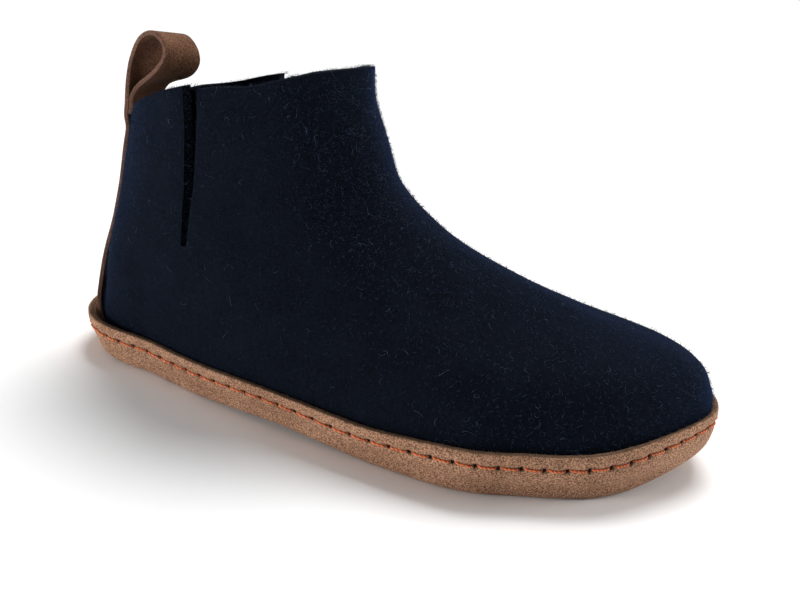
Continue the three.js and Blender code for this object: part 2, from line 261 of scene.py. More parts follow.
def beside_felt(around, up, distance, flat=False):
    normal = felt_normal(around, up)
    if flat:
        normal = Vector((normal.x, normal.y, 0)).normalized()
    return felt_point(around, up) + normal * distance


def settle(point):
    """Lifts a point by the arch and the toe spring, less and less with height."""
    x = point.x / BOOT_LENGTH
    arch = 1 - smoothstep(abs(x - ARCH_MIDDLE), 0, ARCH_REACH)
    toe = clamp((x - SPRING_START) / (1 - SPRING_START)) ** 2
    kept = 1 - smoothstep(point.z, 0, COLLAR_HEIGHT * 0.4)
    return point + Vector((0, 0, (ARCH_LIFT * arch + TOE_SPRING * toe) * kept))


MOUTH_BACK, MOUTH_FRONT = LEVELS[-1][1] * BOOT_LENGTH, LEVELS[-1][2] * BOOT_LENGTH


def collar_height(x):
    along = (x - MOUTH_BACK) / (MOUTH_FRONT - MOUTH_BACK)
    after = next((i for i, row in enumerate(COLLAR) if row[0] > along), len(COLLAR) - 1)
    (low, a), (high, b) = COLLAR[max(after, 1) - 1], COLLAR[max(after, 1)]
    return COLLAR_HEIGHT * lerp(a, b, clamp((along - low) / (high - low)))


def collar_trim(x, y):
    """How much higher than in the table the knife left the collar here, on the outer and the inner side."""
    along = (x - MOUTH_BACK) / (MOUTH_FRONT - MOUTH_BACK)

    def hump(middle, reach):
        return math.exp(-(((along - middle) / reach) ** 2))

    outer = 1.7 * hump(0.36, 0.14) + hump(0.57, 0.07) - 0.8 * hump(0.74, 0.09) + 2 * hump(1, 0.12)
    outer -= 4 * (1 - smoothstep(along, 0, 0.16))
    inner = 4.5 * (1 - smoothstep(along, 0, 0.3)) + hump(0.3, 0.12) - 2.5 * smoothstep(along, 0.6, 0.85)
    return lerp(outer, inner, smoothstep(y, 16 * along - 9, 16 * along + 9))


# %% [markdown]
# ## Helpers for meshes
# A soft piece is grown from a circle. The circle's vertices carry the number of their column, each new ring
# is extruded from the last one, and the numbers tell every new vertex where it goes.

# %% Growing a mesh ring by ring
def start_ring(bm, points):
    """A circle laid on the points, with its vertices numbered; returns its edges."""
    column = bm.verts.layers.int.new("column")
    row = bm.verts.layers.int.new("row")
    circle = bmesh.ops.create_circle(bm, segments=len(points), radius=1)["verts"]
    for i, vert in enumerate(circle):
        vert[column], vert[row], vert.co = i, 0, points[i]
    return list(bm.edges)


def grow_ring(bm, edges, points, number):
    """A further ring, extruded from the edges; returns its edges."""
    column, row = bm.verts.layers.int["column"], bm.verts.layers.int["row"]
    new = bmesh.ops.extrude_edge_only(bm, edges=edges)["geom"]
    for vert in (item for item in new if isinstance(item, bmesh.types.BMVert)):
        vert[row], vert.co = number, points[vert[column]]
    return [item for item in new if isinstance(item, bmesh.types.BMEdge) and item.is_boundary]


def cap(bm, edges):
    """A flat lid over a ring, in small triangles: a face with hundreds of corners subdivides badly."""
    lid = bmesh.ops.contextual_create(bm, geom=edges)["faces"]
    return bmesh.ops.triangulate(bm, faces=lid, quad_method="BEAUTY", ngon_method="BEAUTY")["faces"]


def to_metres(bm):
    """From the last's millimetres to the frame's metres."""
    bmesh.ops.translate(bm, vec=PLACE, verts=bm.verts)
    bmesh.ops.scale(bm, vec=(MM, MM, MM), verts=bm.verts)


def finish_piece(bm, name, *materials):
    """The mesh as a smooth object of its own, riding on the slipper."""
    mesh = bpy.data.meshes.new(name)
    bm.to_mesh(mesh)
    bm.free()
    piece = bpy.data.objects.new(name, mesh)
    bpy.context.scene.collection.objects.link(piece)
    for material in materials:
        mesh.materials.append(material)
    mesh.polygons.foreach_set("use_smooth", [True] * len(mesh.polygons))
    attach(piece, "root")
    return piece


def subdivide(piece, levels_up=1):
    modifier = piece.modifiers.new("smooth", "SUBSURF")
    modifier.levels = modifier.render_levels = levels_up


# %% [markdown]
# ## Helpers for materials
# Colours are picked as sRGB hex and turned to linear light. One function adds a node with its settings and
# its links.

# %% Colour and nodes
def linear(hex_colour):
    parts = [int(hex_colour[i:i + 2], 16) / 255 for i in (1, 3, 5)]
    return [c / 12.92 if c <= 0.04045 else ((c + 0.055) / 1.055) ** 2.4 for c in parts] + [1]


def add_node(tree, kind, inputs=None, **settings):
    """A node of this kind; inputs maps a socket's name or number to a value or to another socket."""
    node = tree.nodes.new(kind)
    for key, value in settings.items():
        setattr(node, key, value)
    for key, value in (inputs or {}).items():
        if isinstance(value, bpy.types.NodeSocket):
            tree.links.new(value, node.inputs[key])
        else:
            node.inputs[key].default_value = value
    return node


def new_material(name):
    material = bpy.data.materials.new(name)
    material.use_nodes = True
    material.node_tree.nodes.clear()
    return material, material.node_tree


def ramp(tree, factor, low, high, low_colour, high_colour):
    """Blends two colours where the factor goes from low to high."""
    node = add_node(tree, "ShaderNodeValToRGB", {"Fac": factor})
    first, last = node.color_ramp.elements
    first.position, first.color = low, linear(low_colour)
    last.position, last.color = high, linear(high_colour)
    return node.outputs["Color"]


def speckle(tree, place, size, settings):
    """Noise whose lumps are about this many millimetres apart."""
    inputs = {"Vector": place, "Scale": 1 / (size * MM), **settings}
    return add_node(tree, "ShaderNodeTexNoise", inputs).outputs["Fac"]


def map_range(tree, value, before, after=(0, 1)):
    """A value taken from one range to another, and held at its ends."""
    return add_node(tree, "ShaderNodeMapRange", {
        "Value": value, "From Min": before[0], "From Max": before[1], "To Min": after[0], "To Max": after[1],
    }).outputs["Result"]


# %% [markdown]
# ### Wool felt
# Wet-felted wool is a mat of fine crimped fibres. It drinks light, so the navy is nearly black on the flanks,
# and only the fibre tips that stand up catch a blue shine where the surface turns away: that is sheen. The
# mat itself is slightly pebbled, about 3 mm from lump to lump, with a fibre grain of about 0.8 mm over it.

# %% Felt
def wool_felt(name, dark, light, sheen, lumps=3.0):
    material, tree = new_material(name)
    place = add_node(tree, "ShaderNodeTexCoord").outputs["Object"]
    mottle = speckle(tree, place, 14, {"Detail": 4})
    fibres = speckle(tree, place, 0.8, {"Detail": 4, "Roughness": 0.65, "Distortion": 2})
    pebbles = speckle(tree, place, lumps, {"Detail": 2})
    blend = add_node(tree, "ShaderNodeMix", {"Factor": 0.12, "A": fibres, "B": mottle}).outputs["Result"]
    colour = ramp(tree, blend, 0.4, 0.64, dark, light)
    shine = map_range(tree, fibres, (0.45, 0.68), (sheen * 0.3, sheen * 3.5))
    coarse = add_node(tree, "ShaderNodeBump", {"Strength": 0.5, "Distance": 0.5 * MM, "Height": pebbles})
    fine = add_node(tree, "ShaderNodeBump", {
        "Strength": 0.7, "Distance": 0.25 * MM, "Height": fibres, "Normal": coarse.outputs["Normal"],
    })
    shader = add_node(tree, "ShaderNodeBsdfPrincipled", {
        "Base Color": colour,
        "Roughness": 0.95,
        "Specular IOR Level": 0.03,
        "Sheen Weight": shine,
        "Sheen Roughness": 0.35,
        "Sheen Tint": linear("#2468c4"),
        "Normal": fine.outputs["Normal"],
    })
    add_node(tree, "ShaderNodeOutputMaterial", {"Surface": shader.outputs["BSDF"]})
    return material


navy_felt = wool_felt("wool_felt_navy", "#07090d", "#141a26", 0.2)
# The cut faces of the slits and the collar get a much darker navy than the outside: painted shade, since the
# slits' cut faces lie in shadow.
navy_cut_painted_shade = wool_felt("wool_felt_navy_cut_painted_shade", "#050709", "#0b0e14", 0.02, lumps=1.2)
navy_insole = wool_felt("wool_felt_insole", "#10141f", "#1c2334", 0.1)


# %% [markdown]
# ### Suede
# Suede is leather split and sanded until its fibres stand up as a nap. It is matt, speckled with pores and
# loose fibre ends about half a millimetre apart, and clouded where the nap lies another way. Its cut edges
# show the paler, stringy inside of the hide.

# %% Suede
def suede(name, dark, light, speck, grain=0.55, cloud=16, paint_hole_shade=False):
    material, tree = new_material(name)
    place = add_node(tree, "ShaderNodeTexCoord").outputs["Object"]
    nap = speckle(tree, place, cloud, {"Detail": 3, "Roughness": 0.6})
    grains = speckle(tree, place, grain, {"Detail": 3, "Roughness": 0.7})
    specks = add_node(tree, "ShaderNodeTexVoronoi", {"Vector": place, "Scale": 1 / (1.1 * MM)})
    base = ramp(tree, nap, 0.35, 0.68, dark, light)
    worn = ramp(tree, grains, 0.4, 0.6, speck, "#ffffff")
    mixed = {"Fac": 0.85, "Color1": base, "Color2": worn}
    colour = add_node(tree, "ShaderNodeMixRGB", mixed, blend_type="MULTIPLY").outputs["Color"]
    # Stitch holes are darkened to near black: painted shade in the holes, read from the vertex weight the
    # sole carries.
    if paint_hole_shade:
        hole_shade_mask = add_node(tree, "ShaderNodeAttribute", attribute_name="hole_shade_mask").outputs["Fac"]
        hole_shade_mask = map_range(tree, hole_shade_mask, (0.15, 0.65))
        mixed = {"Fac": hole_shade_mask, "Color1": colour, "Color2": linear("#140d09")}
        colour = add_node(tree, "ShaderNodeMixRGB", mixed).outputs["Color"]
    coarse = add_node(tree, "ShaderNodeBump", {
        "Strength": 0.35, "Distance": 0.3 * MM, "Height": specks.outputs["Distance"],
    })
    fine = add_node(tree, "ShaderNodeBump", {
        "Strength": 0.8, "Distance": 0.25 * MM, "Height": grains, "Normal": coarse.outputs["Normal"],
    })
    shader = add_node(tree, "ShaderNodeBsdfPrincipled", {
        "Base Color": colour,
        "Roughness": 0.92,
        "Specular IOR Level": 0.12,
        "Sheen Weight": 0.08,
        "Sheen Roughness": 0.5,
        "Sheen Tint": linear("#d8b89c"),
        "Normal": fine.outputs["Normal"],
    })
    add_node(tree, "ShaderNodeOutputMaterial", {"Surface": shader.outputs["BSDF"]})
    return material


sole_suede = suede("suede_taupe", "#b98d70", "#cfa182", "#46322a", grain=0.6, paint_hole_shade=True)
sole_edge = suede("suede_taupe_cut", "#705846", "#94775f", "#62493a", grain=0.4)
strap_suede = suede("suede_brown", "#74523e", "#8a644c", "#745e50", cloud=9)
strap_edge = suede("suede_brown_cut", "#74574a", "#987263", "#54402f", grain=0.35)

# %% [markdown]
# ## The upper
# The real upper is one seamless felt boot, shaped wet over a last, and the two slits are cut afterwards. So
# the model is one sheet too: rings extruded up from the floor to the collar. Two neighbouring columns of
# each side are steered along the slit's cut lines, the faces between them are deleted down to its blunt end,
# and only then does Solidify give the sheet its thickness, which also makes the cut faces.

# %% The slit's two cut lines
SLIT_PLACE = lerp(MOUTH_BACK, MOUTH_FRONT, SLIT_ALONG)
SLIT_TOP = collar_height(SLIT_PLACE)
SLIT_END = SLIT_TOP - SLIT_DEPTH


def slit_edges(z):
    """Where the slit's rear and front cut lie at a height."""
    share = clamp((z - SLIT_END) / SLIT_DEPTH)
    middle = SLIT_PLACE - SLIT_LEAN * (1 - share)
    half = lerp(SLIT_TIP, SLIT_MOUTH, share) / 2
    return middle - half, middle + half


def around_for(x, up, inner=False):
    """The place around where the felt has this x, on the outer or the inner side."""
    low, high = 0.0, 0.5
    for _ in range(22):
        middle = (low + high) / 2
        if felt_point(1 - middle if inner else middle, up).x < x:
            low = middle
        else:
            high = middle
    return (low + high) / 2


# %% Lay out the felt's columns and rows
COLUMNS = 168
LOW_ROWS, HIGH_ROWS = 30, 22
CUT = round(around_for(SLIT_PLACE, up_for(95)) * COLUMNS)


def warped(j, cuts):
    """The place around of column j, with the columns CUT and CUT + 1 on the two cut lines."""
    half = COLUMNS // 2
    inner = j > half
    k = COLUMNS - j if inner else j
    rear, front = cuts[1] if inner else cuts[0]
    if k <= CUT:
        share = rear * k / CUT
    else:
        share = lerp(front, 0.5, (k - CUT - 1) / (half - CUT - 1))
    return 1 - share if inner else share


def collar_z(around):
    """The height of the collar at a place around."""
    z = COLLAR_HEIGHT * 0.9
    for _ in range(4):
        x, y, _ = felt_point(around, up_for(round(z, 1)))
        z = collar_height(x) + collar_trim(x, y)
    return z


def felt_row(height_at):
    """One ring of points; height_at gives the height of a column from its collar height."""
    ring = []
    for j in range(COLUMNS):
        z = height_at(COLLAR_HEIGHT * 0.9)
        for _ in range(3):
            up = up_for(round(z, 3))
            rear, front = slit_edges(z)
            cuts = [(around_for(rear, up, inner), around_for(front, up, inner)) for inner in (False, True)]
            around = warped(j, cuts)
            x, y, _ = felt_point(around, up)
            if j in (CUT, COLUMNS - CUT):
                x = rear
            if j in (CUT + 1, COLUMNS - CUT - 1):
                x = SLIT_PLACE + SLIT_MOUTH / 2
            z = height_at(collar_height(x) + collar_trim(x, y))
        ring.append((around, up_for(round(z, 3))))
    return ring


def row_height(i):
    if i <= LOW_ROWS:
        z = lerp(FELT_BASE, SLIT_END, i / LOW_ROWS)
        return lambda top: z
    return lambda top: lerp(SLIT_END, top, (i - LOW_ROWS) / HIGH_ROWS)


# %% Softness of the felt
# along, height, side (-1 outer, 1 inner), length, width, depth: long soft troughs and ridges, in millimetres
FOLDS = [
    (96, 74, -1, 34, 9, -0.7),
    (104, 60, -1, 40, 8, 0.5),
    (118, 50, -1, 46, 10, -0.6),
    (92, 80, 1, 30, 9, -0.6),
    (110, 58, 1, 40, 9, 0.5),
    (24, 60, -1, 20, 12, -0.5),
    (30, 40, -1, 24, 10, 0.5),
    (188, 34, -1, 50, 14, -0.6),
    (200, 30, 1, 44, 12, 0.5),
]


def softness(point, side):
    """How far the felt stands out or in: the listed folds, and the unevenness of felted wool."""
    out = 0.0
    for x, z, fold_side, length, width, depth in FOLDS:
        along, rise = point.x - x, point.z - z
        u, v = 0.86 * along - 0.5 * rise, 0.5 * along + 0.86 * rise
        reach = math.exp(-((u / length) ** 2) - (v / width) ** 2)
        out += depth * reach * smoothstep(fold_side * side, 0.05, 0.5)
    out += 0.55 * noise.noise(point / 26) + 0.25 * noise.noise(point / 9)
    return out


# %% Build the sheet and cut the slits
print("Laying out the felt")
felt_rows = [felt_row(row_height(i)) for i in range(LOW_ROWS + HIGH_ROWS + 1)]


def felt_place(around, up):
    point = felt_point(around, up)
    normal = felt_normal(around, up)
    calm = smoothstep(point.z, SOLE_RIM, SOLE_RIM + 14)
    return settle(point + normal * softness(point, normal.y) * calm)


bm = bmesh.new()
floor_inner = [settle(beside_felt(a, u, -12, flat=True)) for a, u in felt_rows[0]]
edges = start_ring(bm, floor_inner)
cap(bm, edges)
for i, row in enumerate(felt_rows):
    edges = grow_ring(bm, edges, [felt_place(a, u) for a, u in row], i + 1)
column, row = bm.verts.layers.int["column"], bm.verts.layers.int["row"]
cut_columns = [{CUT, CUT + 1}, {COLUMNS - CUT, COLUMNS - CUT - 1}]
gone = []
for face in bm.faces:
    above_slit_end = min(vert[row] for vert in face.verts) > LOW_ROWS
    if above_slit_end and {vert[column] for vert in face.verts} in cut_columns:
        gone.append(face)
bmesh.ops.delete(bm, geom=gone, context="FACES")
bmesh.ops.recalc_face_normals(bm, faces=bm.faces)
to_metres(bm)
upper = finish_piece(bm, "felt_upper", navy_felt, navy_cut_painted_shade)
wall = upper.modifiers.new("felt_wall", "SOLIDIFY")
wall.thickness = FELT_WALL * MM
wall.offset = -1
wall.use_even_offset = True
# The rim faces, which are the cut faces, take the darker felt with its painted shade.
wall.material_offset_rim = 1
soften = upper.modifiers.new("soft_cut", "BEVEL")
soften.width = 1.4 * MM
soften.segments = 3
soften.limit_method = "ANGLE"
soften.angle_limit = math.radians(55)
soften.harden_normals = False
subdivide(upper)
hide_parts("upper")
print("Upper:", len(gone), "faces cut away for the slits")

# %% [markdown]
# ## The sole
# The cup is one piece of thick suede, drawn up around the felt and stitched through near its rim. The same
# growing ring makes it: across its flat bottom, round the edge, up the wall, over the rim, down inside. The
# columns are spaced by the stitches, so that the leather can be pulled in at every hole.

# %% Stitch spacing along the rim
STITCH_PITCH = 8.3
STITCH_DOWN = 5.4
STITCH_HEIGHT = SOLE_RIM - STITCH_DOWN
# where the columns stand between one hole and the next, close together at the holes
SPOTS = (0, 0.1, 0.3, 0.5, 0.7, 0.9)


def strap_room(point):
    edge = STRAP_FOOT_WIDTH / 2
    beside = smoothstep(abs(point.y), edge, edge * 1.5)
    behind = 1 - smoothstep(point.x, 0.1 * BOOT_LENGTH, 0.18 * BOOT_LENGTH)
    return (STRAP_THICKNESS + STRAP_EASE) * (1 - beside) * behind


def wall_point(around, height, distance, inside=False):
    """A point beside the felt; rim and seam stand higher round the forefoot, the edge at the toe's end."""
    x = felt_point(around, up_for(round(height, 3))).x / BOOT_LENGTH
    low, low_rise = (FELT_BASE, 0) if inside else (EDGE_RISE, TOE_EDGE_RISE * smoothstep(x, 0.93, 1))
    rise = BALL_RIM_RISE * smoothstep(x, 0.55, 0.74) + TOE_RIM_RISE * smoothstep(x, 0.83, 0.98)
    height += lerp(low_rise, rise, clamp((height - low) / (STITCH_HEIGHT - low)))
    up = up_for(round(height, 3))
    return beside_felt(around, up, distance + strap_room(felt_point(around, up)), flat=True)


SAMPLES = 1400
samples = [wall_point(i / SAMPLES, STITCH_HEIGHT, CLEARANCE + LEATHER) for i in range(SAMPLES + 1)]
lengths = [0.0]
for a, b in zip(samples, samples[1:]):
    lengths.append(lengths[-1] + (b - a).length)
STITCHES = round(lengths[-1] / STITCH_PITCH)
pitch = lengths[-1] / STITCHES


def around_at_length(length):
    length %= lengths[-1]
    after = next(i for i, value in enumerate(lengths) if value > length)
    share = (length - lengths[after - 1]) / (lengths[after] - lengths[after - 1])
    return (after - 1 + share) / SAMPLES


sole_places = [around_at_length(pitch * (k + spot)) for k in range(STITCHES) for spot in SPOTS]
print("Seam of", round(lengths[-1]), "mm takes", STITCHES, "stitches")


# %% The sole's profile, ring by ring
def pit_depth(j, height):
    """1 in the middle of a stitch hole, fading out within a millimetre of it."""
    spot = SPOTS[j % len(SPOTS)]
    away = min(spot, 1 - spot) * pitch
    return math.exp(-((away / 1.05) ** 2) - ((height - STITCH_HEIGHT) / 1.0) ** 2)


def sole_wall(around, height, out=0.0):
    """A point of the sole's outer wall: flared at the rim, drawn in along the seam, and close at the toe."""
    share = clamp((height - EDGE_RISE) / (SOLE_RIM - EDGE_RISE))
    groove = 0.2 * math.exp(-(((height - STITCH_HEIGHT) / 1.4) ** 2))
    bulge = 0.35 * math.exp(-(((height - STITCH_HEIGHT - 2.6) / 1.4) ** 2))
    point = wall_point(around, height, CLEARANCE + LEATHER)
    hug = 1.1 * share * smoothstep(point.x, 0.9 * BOOT_LENGTH, BOOT_LENGTH)
    normal = felt_normal(around, up_for(round(height, 3)))
    normal = Vector((normal.x, normal.y, 0)).normalized()
    wobble = 0.3 * noise.noise(point / 21 + Vector((7, 0, 0)))
    return point + normal * (RIM_FLARE * share ** 2 + bulge - groove - hug + wobble + out)


def shoulder_round(point):
    heel = 1 - smoothstep(point.x, 0, 0.25 * BOOT_LENGTH)
    toe = smoothstep(point.x, 0.93 * BOOT_LENGTH, BOOT_LENGTH)
    side = EDGE_ROUND_SIDE
    return side + (EDGE_ROUND_HEEL - side) * heel + (EDGE_ROUND_TOE - side) * toe


WALL_HEIGHTS = (EDGE_RISE, 7.5, 9, 10.4, 11.6, 12.5, STITCH_HEIGHT, 13.7, 14.6, 15.8, 17, 18, SOLE_RIM)


def sole_profile(j):
    """The points of one column of the sole, from its bottom over the rim to its inside floor."""
    around = sole_places[j]
    shoulder = sole_wall(around, EDGE_RISE)
    normal = felt_normal(around, up_for(EDGE_RISE))
    normal = Vector((normal.x, normal.y, 0)).normalized()
    reach = shoulder_round(shoulder)
    points = [shoulder - normal * (reach + 9), shoulder - normal * (reach + 2)]
    points[0].z = points[1].z = 0
    for i in range(5):
        angle = i / 5 * math.pi / 2
        point = shoulder - normal * reach * (1 - math.sin(angle))
        point.z = shoulder.z * (1 - math.cos(angle))
        points.append(point)
    points += [sole_wall(around, height, -1.3 * pit_depth(j, height)) for height in WALL_HEIGHTS]
    ragged = 0.35 * noise.noise(points[-1] / 1.9)
    points[-1].z += ragged
    for height in (SOLE_RIM + ragged, 17, 14, 10, 6, FELT_BASE + 1):
        points.append(wall_point(around, height, CLEARANCE, inside=True))
    points.append(wall_point(around, FELT_BASE, CLEARANCE - 1.5, inside=True))
    points[-1].z = LEATHER
    return [settle(point) for point in points]


# %% Build the sole
profiles = [sole_profile(j) for j in range(len(sole_places))]
sole_rings = list(zip(*profiles))
bm = bmesh.new()
hole_shade_mask = bm.verts.layers.float.new("hole_shade_mask")
edges = start_ring(bm, sole_rings[0])
cap(bm, edges)
for i, points in enumerate(sole_rings[1:]):
    edges = grow_ring(bm, edges, points, i + 1)
cap(bm, edges)
bmesh.ops.recalc_face_normals(bm, faces=bm.faces)
column, row = bm.verts.layers.int["column"], bm.verts.layers.int["row"]
hole_shade_mask = bm.verts.layers.float["hole_shade_mask"]
FIRST_WALL_ROW = 7
RIM_ROWS = {19, 20}
# Each vertex near a stitch hole gets a weight, which the sole's material uses to paint shade into the holes.
for vert in bm.verts:
    height = vert[row] - FIRST_WALL_ROW
    vert[hole_shade_mask] = pit_depth(vert[column], WALL_HEIGHTS[height]) if 0 <= height < len(WALL_HEIGHTS) else 0
for face in bm.faces:
    if {vert[row] for vert in face.verts} == RIM_ROWS:
        face.material_index = 1
to_metres(bm)
sole = finish_piece(bm, "suede_sole", sole_suede, sole_edge)
subdivide(sole)
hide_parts("sole")
print("Sole:", len(sole_places), "columns")

# %% [markdown]
# ### The seam
# Orange thread runs round the whole rim in one row of lockstitch. Each stitch comes up out of its hole, lies
# on the suede for about two thirds of the pitch, a little askew, and dives into the next hole. Many small
# tubes like these are quickest as one mesh from arrays.

# %% Tubes from arrays
def strands(name, paths, sides, material):
    """One mesh of many thin closed tubes; a path is its points and its radii at the root and the tip."""
    vertices, faces = [], []
    for points, root, tip in paths:
        first, last = len(vertices), len(points) - 1
        across_strand = (points[-1] - points[0]).orthogonal()
        for i, point in enumerate(points):
            ahead = (points[min(i + 1, last)] - points[max(i - 1, 0)]).normalized()
            side = (across_strand - ahead * across_strand.dot(ahead)).normalized()
            other = ahead.cross(side)
            for k in range(sides):
                angle = 2 * math.pi * k / sides
                round_place = (side * math.cos(angle) + other * math.sin(angle)) * lerp(root, tip, i / last)
                vertices.append((point + round_place + PLACE) * MM)
        for i in range(last):
            for k in range(sides):
                a, b = first + i * sides + k, first + i * sides + (k + 1) % sides
                faces.append((a, b, b + sides, a + sides))
        faces.append(tuple(reversed(range(first, first + sides))))
        faces.append(tuple(range(first + last * sides, first + (last + 1) * sides)))
    mesh = bpy.data.meshes.new(name)
    mesh.from_pydata(vertices, [], faces)
    mesh.polygons.foreach_set("use_smooth", [True] * len(mesh.polygons))
    mesh.materials.append(material)
    piece = bpy.data.objects.new(name, mesh)
    bpy.context.scene.collection.objects.link(piece)
    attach(piece, "root")
    print(name, len(paths), "strands,", len(faces), "faces")
    return piece


# %% Orange thread
THREAD_RADIUS = 0.37


def orange_thread():
    """Waxed thread of two plies: the twist shows as fine slanting ridges about a millimetre apart."""
    material, tree = new_material("waxed_thread_orange")
    place = add_node(tree, "ShaderNodeTexCoord").outputs["Object"]
    ply = {"Vector": place, "Scale": 0.31 / (1.0 * MM), "Distortion": 1}
    twist = add_node(tree, "ShaderNodeTexWave", ply, bands_direction="DIAGONAL").outputs["Fac"]
    # The colour follows the twist's height, so the grooves between the plies are darker: painted shade.
    colour = ramp(tree, twist, 0.1, 0.8, "#b04e26", "#ec7c4a")
    ridges = add_node(tree, "ShaderNodeBump", {"Strength": 0.6, "Distance": 0.1 * MM, "Height": twist})
    shader = add_node(tree, "ShaderNodeBsdfPrincipled", {
        "Base Color": colour,
        "Roughness": 0.6,
        "Specular IOR Level": 0.3,
        "Normal": ridges.outputs["Normal"],
    })
    add_node(tree, "ShaderNodeOutputMaterial", {"Surface": shader.outputs["BSDF"]})
    return material


def thread_path(k):
    """One stitch, from inside its hole over the suede into the next hole."""
    points = []
    askew = random.uniform(0.1, 0.5)
    for i in range(9):
        share = lerp(0.08, 0.92, i / 8)
        over = smoothstep(min(share, 1 - share), 0.08, 0.22)
        height = STITCH_HEIGHT + lerp(askew, -askew, share)
        around = around_at_length(pitch * (k + share))
        points.append(settle(sole_wall(around, height, lerp(-1.3, 0.42, over))))
    return points, THREAD_RADIUS, THREAD_RADIUS


random.seed(7)
seam = strands("seam_thread", [thread_path(k) for k in range(STITCHES)], 6, orange_thread())

# %% [markdown]
# ## The insole
# A loose sheet of pressed felt lies on the boot's floor. It is hardly seen, so it stays plain: an outline
# extruded to its thickness, with its edge rounded by a bevel.

# %% Insole
bm = bmesh.new()
insole_base = FELT_BASE + FELT_FLOOR + CLEARANCE
ring = []
for j in range(96):
    up = up_for(insole_base + INSOLE_THICKNESS)
    point = beside_felt(j / 96, up, -FELT_WALL * 1.5 - INSOLE_EASE, flat=True)
    ring.append(settle(Vector((point.x, point.y, insole_base))))
edges = start_ring(bm, ring)
bottom = bmesh.ops.contextual_create(bm, geom=edges)["faces"]
top = bmesh.ops.extrude_face_region(bm, geom=bottom + list(bm.edges))["geom"]
lifted = [vert for vert in top if isinstance(vert, bmesh.types.BMVert)]
bmesh.ops.translate(bm, vec=(0, 0, INSOLE_THICKNESS), verts=lifted)
bmesh.ops.recalc_face_normals(bm, faces=bm.faces)
rim = [edge for edge in bm.edges if len(edge.link_faces) == 2 and edge.calc_face_angle() > 1]
bmesh.ops.bevel(bm, geom=rim, offset=0.9, segments=3, profile=0.5, affect="EDGES", material=-1)
to_metres(bm)
insole = finish_piece(bm, "felt_insole", navy_insole)
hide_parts("insole")

# %% [markdown]
# ## The pull strap
# One strip of suede: spread out under the rim of the sole, up the heel, over in a loop, and sewn back on
# itself. A ring round the end of the strip, along its back and back along its front, is extruded along its
# rows.

# %% The strap's rows
STRAP_COLUMNS = 12
LEG_STEP = 3
# how much lower the loop's far edge hangs than its near one, and how far it swings forward, per millimetre
LOOP_TILT, LOOP_SWING = 0.11, 0.12
# how far behind the felt, how far above the collar, how much of the heel's round is kept
LOOP = [
    (0.085, 0.26, 0.85),
    (0.005, 0.58, 0.5),
    (-0.165, 0.89, 0.2),
    (-0.385, 1, 0.1),
    (-0.565, 0.89, 0.1),
    (-0.575, 0.71, 0.2),
    (-0.38, 0.49, 0.4),
    (-0.09, 0.29, 0.8),
    (0.03, 0.13, 1),
]


def heel_section(height, half):
    """Places at equal steps along the felt across the heel, from the outer side to the inner."""
    reach = 0.16
    up = up_for(round(height, 3))
    places = [lerp(reach, -reach, i / 80) for i in range(81)]
    points = [felt_point(place, up) for place in places]
    run = [0.0]
    for a, b in zip(points, points[1:]):
        run.append(run[-1] + (b - a).length)
    found = []
    for i in range(STRAP_COLUMNS + 1):
        wanted = run[40] + lerp(-half, half, i / STRAP_COLUMNS)
        after = next(k for k, value in enumerate(run) if value > wanted)
        share = (wanted - run[after - 1]) / (run[after] - run[after - 1])
        place = lerp(places[after - 1], places[after], share)
        normal = felt_normal(place, up)
        found.append((felt_point(place, up), Vector((normal.x, normal.y, 0)).normalized()))
    return found


def stand_off(height):
    risen = smoothstep(height, STRAP_FOOT_HEIGHT, SOLE_RIM * 1.4)
    faded = smoothstep(height, FLARE_HEIGHT * 0.7, FLARE_HEIGHT * 1.4)
    return STRAP_STAND_OFF * risen * (1 - faded)


def strap_rows():
    collar = collar_height(MOUTH_BACK)
    near = CLEARANCE + STRAP_THICKNESS / 2
    far = near + STRAP_THICKNESS + CLEARANCE
    tail = collar - LOOP_TAIL

    def lay(height, behind, keep, half):
        places = heel_section(min(height, collar), half)
        middle = places[STRAP_COLUMNS // 2][0]
        laid = []
        loose = 1 - smoothstep(keep, 0.15, 0.9)
        front = smoothstep(-behind, 2, 12) * (1 - smoothstep(height - collar, 18, 30))
        for i, (point, normal) in enumerate(places):
            across_strap = lerp(-1, 1, i / STRAP_COLUMNS) * half
            turned = Vector((-1, 0, 0)).lerp(normal, keep).normalized()
            flat = Vector((middle.x, middle.y + across_strap, point.z))
            point = flat.lerp(point, keep) + turned * behind
            drop = LOOP_TILT * (across_strap + half) * loose
            swing = LOOP_SWING * (across_strap + half) * front
            laid.append(Vector((point.x + swing, point.y, height - drop)))
        return laid

    def laid_row(height, behind, keep=1.0):
        flare = 1 - smoothstep(height, SOLE_RIM * 0.6, FLARE_HEIGHT)
        half = lerp(STRAP_WIDTH, STRAP_FOOT_WIDTH, flare) / 2
        fanned = lay(height, behind, keep, half)
        length = sum((b - a).length for a, b in zip(fanned, fanned[1:]))
        return lay(height, behind, keep, half * 2 * half / length)

    rows = []
    count = round((collar - STRAP_FOOT_HEIGHT) / LEG_STEP)
    for i in range(count + 1):
        height = lerp(STRAP_FOOT_HEIGHT, collar, i / count)
        out = smoothstep(height, tail - 6, tail)
        rows.append(laid_row(height, lerp(near, far, out) + stand_off(height)))
    stations = [(far / LOOP_RISE, 0, 1), *LOOP, (near / LOOP_RISE, 0, 1)]
    stations = [Vector(station) for station in stations]
    for i in range(1, 31):
        behind, rise, keep = spline(stations, i / 30)
        rows.append(laid_row(collar + rise * LOOP_RISE, behind * LOOP_RISE, clamp(keep)))
    for i in range(1, 4):
        rows.append(laid_row(lerp(collar, tail, i / 3), near))
    return rows


